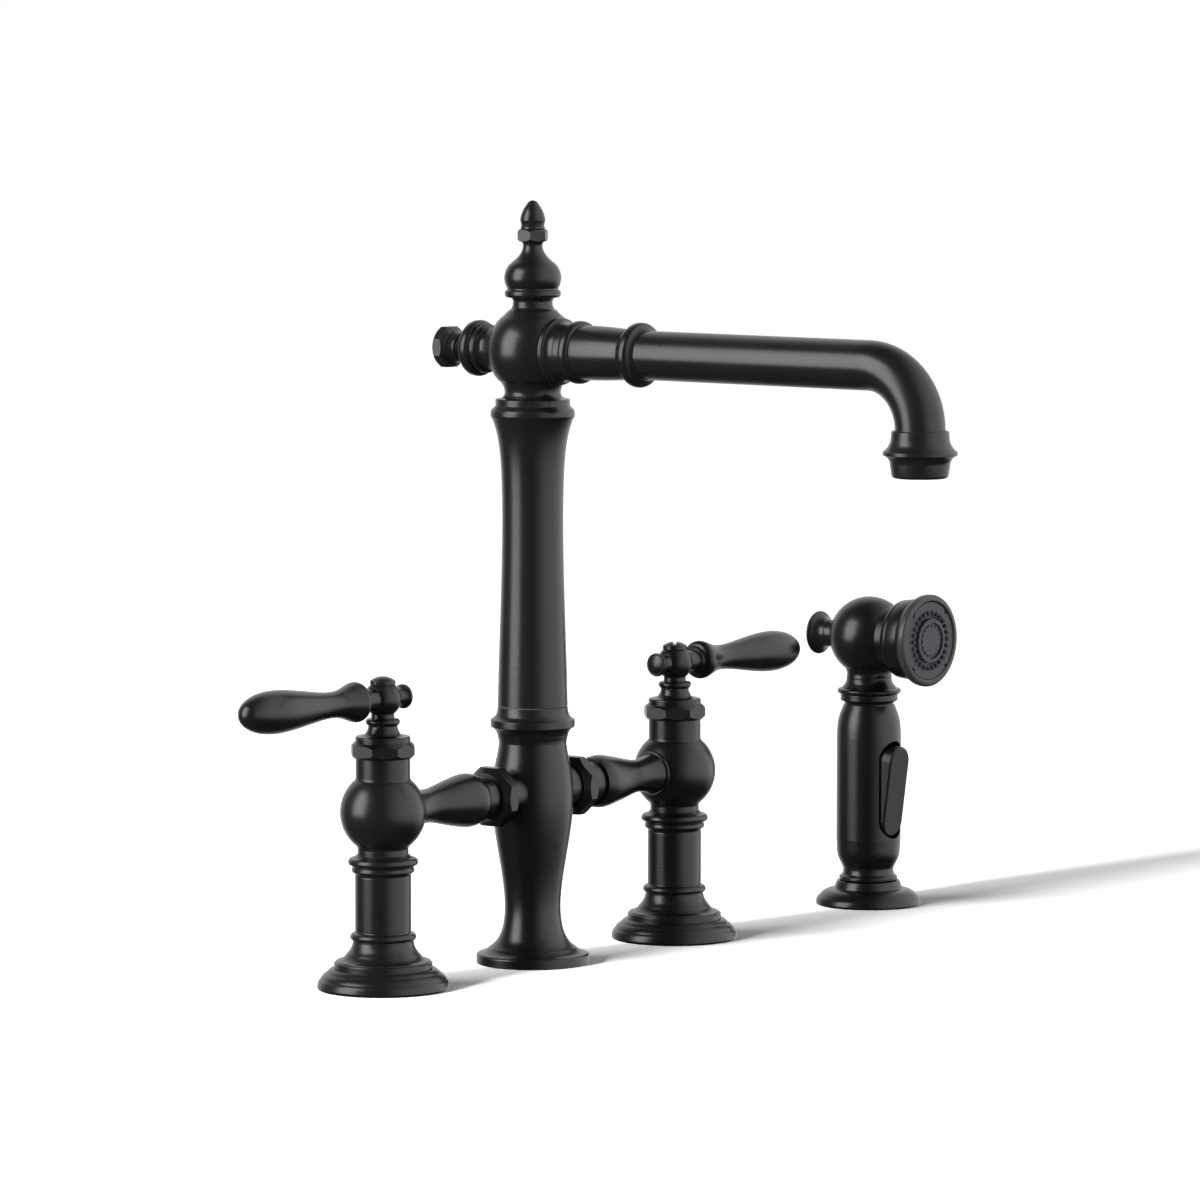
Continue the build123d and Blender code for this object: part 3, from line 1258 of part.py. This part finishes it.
def make_spray_head():
    centre = spray_height
    low = -spray_ball_radius * spray_low_share
    head = turned(
        (neck_ring_radius + 0.3, neck_ring_top),
        (head_flare_radius, head_flare_height, 0.22),
        (head_flare_radius - head_bead_inset, head_flare_height + head_bead_half, 0.22),
        (head_cove_radius, head_cove_height, -0.12),
        (spray_neck_radius, spray_neck_height, -0.12),
        (ball_slice(spray_ball_radius, low), centre + low, -0.12),
        (spray_ball_radius, centre, ball_bow(spray_ball_radius, low, 0)),
        (0, centre + spray_ball_radius, ball_bow(spray_ball_radius, 0, spray_ball_radius)),
    )
    head -= rod(core_way_radius * 2, neck_ring_top, centre)
    front = Pos(0, 0, centre) * TO_FRONT
    rear = Pos(0, 0, centre) * TO_REAR
    head -= front * rod(spray_way_radius, 0, spray_ball_radius)
    head -= front * rod(bell_ring_radius, bell_ring_start, spray_ball_radius)
    head -= rear * rod(tail_knob_seat_radius, tail_knob_seat, spray_ball_radius)
    head -= rear * rod(spray_stud_radius, tail_knob_seat - spray_stud_depth, tail_knob_seat)
    keep("spray_head", SPRAYER * head)

    knob = turned(
        (tail_knob_seat_radius, tail_knob_seat),
        (tail_knob_seat_radius - 0.4, tail_knob_seat + 0.9, 0.1),
        (tail_knob_neck_radius + 0.2, tail_knob_seat + 1.8, -0.15),
        (tail_knob_neck_radius + 0.8, tail_knob_seat + 5.9, -0.05),
        (tail_knob_radius - 0.3, tail_knob_reach - 0.6, -0.14),
        (tail_knob_radius, tail_knob_reach, 0.1),
        (tail_knob_radius - 0.5, tail_knob_reach + 0.6, 0.2),
        (0, tail_knob_reach + 1.4, tip_bow(tail_knob_radius - 0.5, 0.8)),
    )
    knob += rod(spray_stud_radius, tail_knob_seat - spray_stud_depth, tail_knob_seat)
    keep("spray_rear_knob", HEAD_REAR * knob)

    ring = turned(
        (bell_ring_radius - 0.4, bell_ring_start),
        (bell_ring_radius, bell_ring_start + 0.5, 0.2),
        (bell_ring_radius, bell_ring_end - 0.4),
        (bell_ring_radius - 0.4, bell_ring_end, 0.2),
    )
    ring -= rod(spray_way_radius, bell_ring_start, bell_ring_end)
    keep("bell_ring", HEAD_FRONT * ring)

    bell = turned(
        (bell_ring_radius + 0.2, bell_ring_end),
        (bell_radius, bell_ring_end + bell_swell_length, 0.18),
        (bell_waist_radius, bell_ring_end + bell_waist_length, 0.03),
        (bell_rim_radius - 0.9, bell_end, -0.14),
    )
    cavity = turned(
        (spray_way_radius, bell_ring_end),
        (spray_way_radius, bell_ring_end + bell_wall),
        (bell_waist_radius - bell_wall, bell_ring_end + bell_wall + 2.0),
        (bell_waist_radius - bell_wall, bell_end),
    )
    keep("bell", HEAD_FRONT * (bell - cavity))

    rim_inner = face_radius + seating_fit
    rim = turned(
        (bell_rim_radius - 0.8, bell_end),
        (bell_rim_radius, bell_end + 1.4, 0.12),
        (bell_rim_radius, bell_rim_end - 1.2),
        (bell_rim_radius - 0.9, bell_rim_end, 0.2),
        (rim_inner + 0.9, bell_rim_end + 0.2, 0.04),
        (rim_inner, bell_rim_end - 0.7, 0.1),
    )
    rim -= rod(rim_inner, bell_end, bell_rim_end + 1)
    keep("bell_rim", HEAD_FRONT * rim)


def make_spray_face():
    back = face_reach - face_thickness
    plate = rod(face_radius, back, face_reach)
    for index in range(face_notches):
        turn = Rot(0, 0, 45 + index * WHOLE_TURN / face_notches)
        notch = rod(face_notch_radius, face_reach - face_notch_depth, face_reach)
        plate -= turn * Pos(face_radius, 0, 0) * notch
    plate -= rod(button_radius + seating_fit, face_reach - button_seat_depth, face_reach)
    plate -= rod(button_radius + button_moat_width, face_reach - button_moat_depth, face_reach)
    plate -= rod(spray_way_radius, back, face_reach)
    holes = [
        Rot(0, 0, index * WHOLE_TURN / nozzle_count) * Pos(nozzle_circle, 0, 0)
        * rod(nozzle_radius, back, face_reach + nozzle_length)
        for index in range(nozzle_count)
    ]
    for hole in holes:
        plate -= hole
    keep("spray_face", HEAD_FRONT * plate)

    drip = [
        Rot(0, 0, index * WHOLE_TURN / nozzle_count) * Pos(nozzle_circle, 0, 0)
        * (
            turned(
                (nozzle_radius, back),
                (nozzle_radius, face_reach + nozzle_length - 0.5),
                (nozzle_radius - 0.35, face_reach + nozzle_length, 0.2),
            )
            - rod(nozzle_radius * 0.4, back, face_reach + nozzle_length)
        )
        for index in range(nozzle_count)
    ]
    pad_outer = nozzle_circle + nozzle_pad_width / 2
    nozzle_pad = tube(pad_outer, pad_outer - nozzle_pad_width, back - nozzle_pad_thickness, back)
    for nozzle in drip:
        nozzle_pad += nozzle
    keep("spray_nozzles", HEAD_FRONT * nozzle_pad)

    button_top = face_reach + button_length
    button = turned(
        (button_radius, face_reach - button_seat_depth),
        (button_radius, button_top - 0.3),
        (button_radius - 0.3, button_top, 0.2),
    )
    button -= rod(button_recess_radius, button_top - button_recess_depth, button_top)
    disc_radius = button_recess_radius - button_disc_gap
    disc_foot = button_top - button_recess_depth - 0.1
    middle = rod(disc_radius, disc_foot, button_top - button_disc_drop)
    scallop = rod(button_scallop_radius, disc_foot, button_top)
    for index in range(button_scallops):
        turn = Rot(0, 0, index * WHOLE_TURN / button_scallops)
        middle -= turn * Pos(disc_radius, 0, 0) * scallop
    button += middle
    keep("spray_button", HEAD_FRONT * button)


# ---- everything ----------------------------------------------------------------------------------
make_post()
make_column()
make_head()
make_top_finial()
make_rear_finial()
make_spout()
make_aerator()
for side_name, side_sign in (("left", -1), ("right", 1)):
    valve_place = Pos(side_sign * valve_centres / 2, 0, 0)
    make_valve_base(valve_place)
    make_valve_body(side_name, valve_place, side_sign)
    make_cartridge(side_name, valve_place)
    make_handle(side_name, valve_place, side_sign)
    make_arm(side_name, side_sign)
make_holder()
make_sprayer_handle()
make_trigger()
make_plunger()
make_spray_head()
make_spray_face()

for node_name, pieces in made.items():
    node_shape = pieces[0] if len(pieces) == 1 else Compound(children=pieces)
    export_step(node_shape, f"parts/{node_name}.step")
print(len(made), "nodes")
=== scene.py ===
import json
from math import cos, radians, sin

import bpy
from mathutils import Matrix, Vector


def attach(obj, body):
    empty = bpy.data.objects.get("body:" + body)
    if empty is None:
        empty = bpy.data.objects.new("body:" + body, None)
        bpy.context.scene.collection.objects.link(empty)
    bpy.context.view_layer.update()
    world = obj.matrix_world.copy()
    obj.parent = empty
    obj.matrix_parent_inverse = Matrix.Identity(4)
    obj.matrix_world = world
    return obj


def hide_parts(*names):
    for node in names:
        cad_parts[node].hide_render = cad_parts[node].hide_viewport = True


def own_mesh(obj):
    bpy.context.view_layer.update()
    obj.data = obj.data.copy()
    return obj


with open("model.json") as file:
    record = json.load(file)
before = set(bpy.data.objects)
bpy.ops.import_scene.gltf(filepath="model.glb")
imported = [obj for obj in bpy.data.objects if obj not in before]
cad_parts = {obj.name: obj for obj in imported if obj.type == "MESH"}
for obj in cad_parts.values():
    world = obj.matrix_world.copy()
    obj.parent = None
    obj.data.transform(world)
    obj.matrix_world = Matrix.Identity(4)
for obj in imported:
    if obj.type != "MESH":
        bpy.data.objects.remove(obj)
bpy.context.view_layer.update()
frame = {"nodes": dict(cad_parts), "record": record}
nodes = frame["nodes"]

# ---- the photograph's view: degrees, metres ------------------------------------------------------
CAMERA_PLACE = Vector((-2.2331, -1.8639, 0.4288))
CAMERA_AZIMUTH = 50.74  # turn of the view from +Y towards +X
CAMERA_DIP = 5.222
CAMERA_ROLL = 0.06
PHOTO_SIDE = 1200
FOCAL_PIXELS = 6552.6
SENSOR = 36.0  # millimetres
NEAR_CLIP, FAR_CLIP = 0.1, 50

# ---- lights: direction from the object as (azimuth from +X towards +Y, elevation), in degrees ----
AIM = Vector((0.03, 0.0, 0.15))
SOFTBOX = {"azimuth": 154, "elevation": 19, "distance": 2.2, "size": (1.4, 2.15), "watts": 50}
SUN = {"azimuth": 176, "elevation": 17, "spread": 8, "strength": 4.6}
ROOM_FILL = 0.16  # what the room gives to all that is lit by it
ROOM_MIRRORED = 0.09  # what glossy surfaces see of it
BRIGHT_SIDE = {"azimuth": -48, "elevation": 0, "from": -0.05, "to": 0.95, "level": 2.0}
ABOVE_FLOOR = {"azimuth": 0, "elevation": 90, "from": -0.5, "to": -0.08}  # nothing bright lies lower
BACKDROP = {"azimuth": 42, "elevation": 10, "from": 0.5, "to": 0.9}  # the paper behind the object

# ---- floor ---------------------------------------------------------------------------------------
FLOOR_PAPER = 0.8
FLOOR_SIDE = 60.0
FLOOR_SHOWN_GAIN = 2.15  # how much of its light the camera sees, so that lit paper comes out white
FLOOR_SHOWN_GLOW = 0.05

# ---- surfaces ------------------------------------------------------------------------------------
NOISE_LOW, NOISE_HIGH = 0.3, 0.7  # nearly all of a noise texture lies between these
CLOUD_DETAIL = 4
GRAIN_DETAIL = 3
RELIEF_STRENGTH = 0.5
EDGE_REACH = 0.0006  # how far in from a sharp edge the colour is lightened, partly as rubbed wear and partly as a painted highlight
EDGE_SAMPLES = 4
EDGE_SHARPEST = 0.8  # cosine between the true and the rounded face where an edge takes the full lighter colour of wear and painted highlight


def direction(azimuth, elevation):
    """Unit vector from the object towards a light."""
    flat = cos(radians(elevation))
    return Vector((flat * cos(radians(azimuth)), flat * sin(radians(azimuth)), sin(radians(elevation))))


def make_camera():
    data = bpy.data.cameras.new("photo_camera")
    data.sensor_width = SENSOR
    data.lens = FOCAL_PIXELS * SENSOR / PHOTO_SIDE
    data.clip_start = NEAR_CLIP
    data.clip_end = FAR_CLIP
    camera = bpy.data.objects.new("photo_camera", data)
    bpy.context.scene.collection.objects.link(camera)
    turn = Matrix.Rotation(radians(-CAMERA_AZIMUTH), 4, "Z")
    tilt = Matrix.Rotation(radians(90 - CAMERA_DIP), 4, "X")
    roll = Matrix.Rotation(radians(CAMERA_ROLL), 4, "Z")
    camera.matrix_world = Matrix.Translation(CAMERA_PLACE) @ turn @ tilt @ roll
    bpy.context.scene.camera = camera


def make_softbox(azimuth, elevation, distance, size, watts):
    data = bpy.data.lights.new("softbox", "AREA")
    data.shape = "RECTANGLE"
    data.size, data.size_y = size
    data.energy = watts
    lamp = bpy.data.objects.new("softbox", data)
    bpy.context.scene.collection.objects.link(lamp)
    away = direction(azimuth, elevation)
    lamp.location = AIM + away * distance
    lamp.rotation_euler = away.to_track_quat("Z", "Y").to_euler()
    lamp.visible_camera = False


def make_sun(azimuth, elevation, spread, strength):
    """Low sun that draws the long soft shadows on the floor and adds no highlight."""
    data = bpy.data.lights.new("low_sun", "SUN")
    data.energy = strength
    data.angle = radians(spread)
    lamp = bpy.data.objects.new("low_sun", data)
    bpy.context.scene.collection.objects.link(lamp)
    lamp.rotation_euler = direction(azimuth, elevation).to_track_quat("Z", "Y").to_euler()
    lamp.visible_glossy = False


def seen_directly(tree):
    """Socket that is 1 for rays from the camera, straight or through something clear."""
    path = tree.nodes.new("ShaderNodeLightPath")
    either = tree.nodes.new("ShaderNodeMath")
    either.operation = "MAXIMUM"
    tree.links.new(path.outputs["Is Camera Ray"], either.inputs[0])
    tree.links.new(path.outputs["Is Transmission Ray"], either.inputs[1])
    return either.outputs[0]


def towards(tree, side):
    """Socket that climbs smoothly from 0 to 1 as a ray turns towards one side of the room."""
    place = tree.nodes.new("ShaderNodeTexCoord")
    facing = tree.nodes.new("ShaderNodeVectorMath")
    facing.operation = "DOT_PRODUCT"
    facing.inputs[1].default_value = direction(side["azimuth"], side["elevation"])
    tree.links.new(place.outputs["Generated"], facing.inputs[0])
    share = tree.nodes.new("ShaderNodeMapRange")
    share.interpolation_type = "SMOOTHSTEP"
    share.inputs["From Min"].default_value = side["from"]
    share.inputs["From Max"].default_value = side["to"]
    tree.links.new(facing.outputs["Value"], share.inputs["Value"])
    return share.outputs["Result"]


def make_world():
    """A room that gives an even fill. Glossy surfaces see it dim, but for one broad bright side, which
    ends near the floor, and the white paper behind the object. The camera sees white."""
    world = bpy.data.worlds.new("pale_room")
    bpy.context.scene.world = world
    world.use_nodes = True
    tree = world.node_tree
    tree.nodes.clear()
    bright = tree.nodes.new("ShaderNodeMath")
    bright.operation = "MULTIPLY"
    tree.links.new(towards(tree, BRIGHT_SIDE), bright.inputs[0])
    tree.links.new(towards(tree, ABOVE_FLOOR), bright.inputs[1])
    level = tree.nodes.new("ShaderNodeMath")
    level.operation = "MULTIPLY_ADD"
    level.inputs[1].default_value = BRIGHT_SIDE["level"]
    level.inputs[2].default_value = ROOM_MIRRORED
    tree.links.new(bright.outputs[0], level.inputs[0])
    path = tree.nodes.new("ShaderNodeLightPath")
    strength = tree.nodes.new("ShaderNodeMix")
    strength.inputs["A"].default_value = ROOM_FILL
    tree.links.new(path.outputs["Is Glossy Ray"], strength.inputs["Factor"])
    tree.links.new(level.outputs[0], strength.inputs["B"])
    room = tree.nodes.new("ShaderNodeBackground")
    tree.links.new(strength.outputs["Result"], room.inputs["Strength"])
    paper = tree.nodes.new("ShaderNodeBackground")
    paper.inputs["Color"].default_value = (1, 1, 1, 1)
    mirrored = tree.nodes.new("ShaderNodeMath")
    mirrored.operation = "MULTIPLY"
    tree.links.new(path.outputs["Is Glossy Ray"], mirrored.inputs[0])
    tree.links.new(towards(tree, BACKDROP), mirrored.inputs[1])
    shown = tree.nodes.new("ShaderNodeMath")
    shown.operation = "MAXIMUM"
    tree.links.new(mirrored.outputs[0], shown.inputs[0])
    tree.links.new(seen_directly(tree), shown.inputs[1])
    mix = tree.nodes.new("ShaderNodeMixShader")
    tree.links.new(shown.outputs[0], mix.inputs[0])
    tree.links.new(room.outputs[0], mix.inputs[1])
    tree.links.new(paper.outputs[0], mix.inputs[2])
    output = tree.nodes.new("ShaderNodeOutputWorld")
    tree.links.new(mix.outputs[0], output.inputs["Surface"])


def make_floor():
    """Pale paper that keeps the shadows. What the camera sees of it is lifted to white, and glossy
    surfaces show the room behind it."""
    half = FLOOR_SIDE / 2
    mesh = bpy.data.meshes.new("floor")
    corners = [(-half, -half, 0), (half, -half, 0), (half, half, 0), (-half, half, 0)]
    mesh.from_pydata(corners, [], [(0, 1, 2, 3)])
    floor = bpy.data.objects.new("floor", mesh)
    bpy.context.scene.collection.objects.link(floor)
    material = bpy.data.materials.new("floor_paper")
    material.use_nodes = True
    tree = material.node_tree
    tree.nodes.clear()
    lit = tree.nodes.new("ShaderNodeBsdfDiffuse")
    lit.inputs["Color"].default_value = (FLOOR_PAPER, FLOOR_PAPER, FLOOR_PAPER, 1)
    lifted = tree.nodes.new("ShaderNodeBsdfDiffuse")
    lift = FLOOR_PAPER * FLOOR_SHOWN_GAIN
    lifted.inputs["Color"].default_value = (lift, lift, lift, 1)
    glow = tree.nodes.new("ShaderNodeEmission")
    glow.inputs["Strength"].default_value = FLOOR_SHOWN_GLOW
    shown = tree.nodes.new("ShaderNodeAddShader")
    tree.links.new(lifted.outputs[0], shown.inputs[0])
    tree.links.new(glow.outputs[0], shown.inputs[1])
    path = tree.nodes.new("ShaderNodeLightPath")
    clear = tree.nodes.new("ShaderNodeBsdfTransparent")
    unseen = tree.nodes.new("ShaderNodeMixShader")
    tree.links.new(path.outputs["Is Glossy Ray"], unseen.inputs[0])
    tree.links.new(lit.outputs[0], unseen.inputs[1])
    tree.links.new(clear.outputs[0], unseen.inputs[2])
    mix = tree.nodes.new("ShaderNodeMixShader")
    tree.links.new(seen_directly(tree), mix.inputs[0])
    tree.links.new(unseen.outputs[0], mix.inputs[1])
    tree.links.new(shown.outputs[0], mix.inputs[2])
    output = tree.nodes.new("ShaderNodeOutputMaterial")
    tree.links.new(mix.outputs[0], output.inputs["Surface"])
    mesh.materials.append(material)


# ---- materials -----------------------------------------------------------------------------------
def noise(tree, scale, detail, stretch=(1, 1, 1)):
    """Even noise, its features about 1 / scale metres wide, drawn out along an axis by its stretch."""
    place = tree.nodes.new("ShaderNodeTexCoord")
    drawn = tree.nodes.new("ShaderNodeMapping")
    drawn.inputs["Scale"].default_value = [1 / value for value in stretch]
    texture = tree.nodes.new("ShaderNodeTexNoise")
    texture.inputs["Scale"].default_value = scale
    texture.inputs["Detail"].default_value = detail
    tree.links.new(place.outputs["Object"], drawn.inputs["Vector"])
    tree.links.new(drawn.outputs["Vector"], texture.inputs["Vector"])
    return texture.outputs["Fac"]


def spread(tree, source, low, high, start=NOISE_LOW, end=NOISE_HIGH):
    """The source, from start to end, stretched over the range from low to high."""
    node = tree.nodes.new("ShaderNodeMapRange")
    node.inputs["From Min"].default_value = start
    node.inputs["From Max"].default_value = end
    node.inputs["To Min"].default_value = low
    node.inputs["To Max"].default_value = high
    tree.links.new(source, node.inputs["Value"])
    return node.outputs["Result"]


def added(tree, first, second):
    node = tree.nodes.new("ShaderNodeMath")
    node.operation = "ADD"
    tree.links.new(first, node.inputs[0])
    tree.links.new(second, node.inputs[1])
    return node.outputs[0]


def blended(tree, share, first, second):
    """A colour between two, by a share."""
    node = tree.nodes.new("ShaderNodeMix")
    node.data_type = "RGBA"
    tree.links.new(share, node.inputs["Factor"])
    node.inputs["A"].default_value = (*first, 1)
    node.inputs["B"].default_value = (*second, 1)
    return node.outputs["Result"]


def edge_share(tree):
    """Socket that is 0 on open faces and climbs towards 1 along sharp edges."""
    rounded = tree.nodes.new("ShaderNodeBevel")
    rounded.samples = EDGE_SAMPLES
    rounded.inputs["Radius"].default_value = EDGE_REACH
    true_face = tree.nodes.new("ShaderNodeNewGeometry")
    agree = tree.nodes.new("ShaderNodeVectorMath")
    agree.operation = "DOT_PRODUCT"
    tree.links.new(rounded.outputs["Normal"], agree.inputs[0])
    tree.links.new(true_face.outputs["Normal"], agree.inputs[1])
    return spread(tree, agree.outputs["Value"], low=1, high=0, start=EDGE_SHARPEST, end=1)


def finish(name, colour, tint, roughness, specular=0.5, metallic=0.0, cloud=30, grain=1600, depth=0.00003,
           stretch=(1, 1, 1), edge_wear_and_highlight=None):
    """A turned or moulded surface. Its colour drifts between two over broad clouds, its gloss drifts with
    them and with the grain, the grain is also its relief, and the edge colour given it is the lighter
    colour its sharp edges take, partly rubbed wear and partly a painted highlight."""
    material = bpy.data.materials.new(name)
    material.use_nodes = True
    tree = material.node_tree
    shader = tree.nodes["Principled BSDF"]
    clouds = noise(tree, cloud, CLOUD_DETAIL)
    grains = noise(tree, grain, GRAIN_DETAIL, stretch)
    drift = blended(tree, spread(tree, clouds, 0, 1), colour, tint)
    low, high = roughness
    middle = (low + high) / 2
    gloss = added(tree, spread(tree, clouds, low, middle), spread(tree, grains, 0, high - middle))
    # sharp edges painted lighter: partly rubbed wear, partly a painted highlight along the rounded edges
    if edge_wear_and_highlight:
        edges = edge_share(tree)
        edge_wear_and_highlight_mix = tree.nodes.new("ShaderNodeMix")
        edge_wear_and_highlight_mix.data_type = "RGBA"
        tree.links.new(edges, edge_wear_and_highlight_mix.inputs["Factor"])
        tree.links.new(drift, edge_wear_and_highlight_mix.inputs["A"])
        edge_wear_and_highlight_mix.inputs["B"].default_value = (*edge_wear_and_highlight, 1)
        drift = edge_wear_and_highlight_mix.outputs["Result"]
    tree.links.new(drift, shader.inputs["Base Color"])
    tree.links.new(gloss, shader.inputs["Roughness"])
    shader.inputs["Metallic"].default_value = metallic
    shader.inputs["Specular IOR Level"].default_value = specular
    relief = tree.nodes.new("ShaderNodeBump")
    relief.inputs["Strength"].default_value = RELIEF_STRENGTH
    relief.inputs["Distance"].default_value = depth
    tree.links.new(grains, relief.inputs["Height"])
    tree.links.new(relief.outputs["Normal"], shader.inputs["Normal"])
    return material


# each edge colour below is lighter than its coat: partly rubbed wear, partly a painted edge highlight
FINISHES = {
    "matte_black": finish("matte_black", (0.0040, 0.0040, 0.0041), (0.0056, 0.0055, 0.0054), (0.25, 0.32),
                          depth=0.000005, edge_wear_and_highlight=(0.016, 0.0155, 0.015)),
    "trigger_black": finish("trigger_black", (0.0050, 0.0050, 0.0052), (0.0066, 0.0066, 0.0068),
                            (0.30, 0.42), specular=0.4, grain=2600, depth=0.00002,
                            edge_wear_and_highlight=(0.030, 0.030, 0.031)),
    "bronze_rim": finish("bronze_rim", (0.024, 0.024, 0.0235), (0.031, 0.0305, 0.0295), (0.28, 0.38),
                         depth=0.00001, edge_wear_and_highlight=(0.055, 0.054, 0.051)),
    "slate_face": finish("slate_face", (0.062, 0.068, 0.080), (0.074, 0.080, 0.092), (0.42, 0.58),
                         cloud=60, grain=3000, depth=0.00005, edge_wear_and_highlight=(0.10, 0.11, 0.125)),
    "nozzle_rubber": finish("nozzle_rubber", (0.050, 0.054, 0.062), (0.060, 0.064, 0.073),
                            (0.40, 0.55), specular=0.4, grain=2200, depth=0.00002),
    "rubber": finish("rubber", (0.022, 0.022, 0.024), (0.030, 0.030, 0.032), (0.55, 0.75), specular=0.35,
                     grain=2200, depth=0.00005),
    "brass": finish("brass", (0.56, 0.40, 0.17), (0.66, 0.50, 0.25), (0.24, 0.40), metallic=1.0,
                    grain=900, stretch=(4, 4, 0.15), edge_wear_and_highlight=(0.80, 0.66, 0.40)),
    "ceramic": finish("ceramic", (0.80, 0.79, 0.75), (0.86, 0.85, 0.82), (0.08, 0.18), grain=4000,
                      depth=0.00001),
    "steel": finish("steel", (0.48, 0.48, 0.50), (0.60, 0.60, 0.61), (0.22, 0.38), metallic=1.0,
                    grain=1200, stretch=(6, 6, 0.2)),
    "nylon": finish("nylon", (0.055, 0.055, 0.060), (0.075, 0.075, 0.080), (0.40, 0.55), grain=2000,
                    depth=0.00004),
}
SLOT_OF = {part["node"]: part["material_slot"] for part in frame["record"]["subparts"]}
for name, node in nodes.items():
    node.data.materials.clear()
    node.data.materials.append(FINISHES[SLOT_OF[name]])


# ---- the plunger's spring, copied as a piece of its own ------------------------------------------
def make_spring():
    """The plunger's spring again, as a copy with a mesh of its own, carried by the sprayer, in place of
    the packed spring, which is hidden."""
    coil = bpy.data.objects.new("plunger_coil", nodes["plunger_spring"].data.copy())
    bpy.context.scene.collection.objects.link(coil)
    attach(coil, "sprayer")
    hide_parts("plunger_spring")
    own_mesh(coil)


# ---- the scene -----------------------------------------------------------------------------------
make_spring()
make_camera()
make_world()
make_floor()
make_softbox(**SOFTBOX)
make_sun(**SUN)

bpy.context.scene.view_settings.view_transform = "Standard"
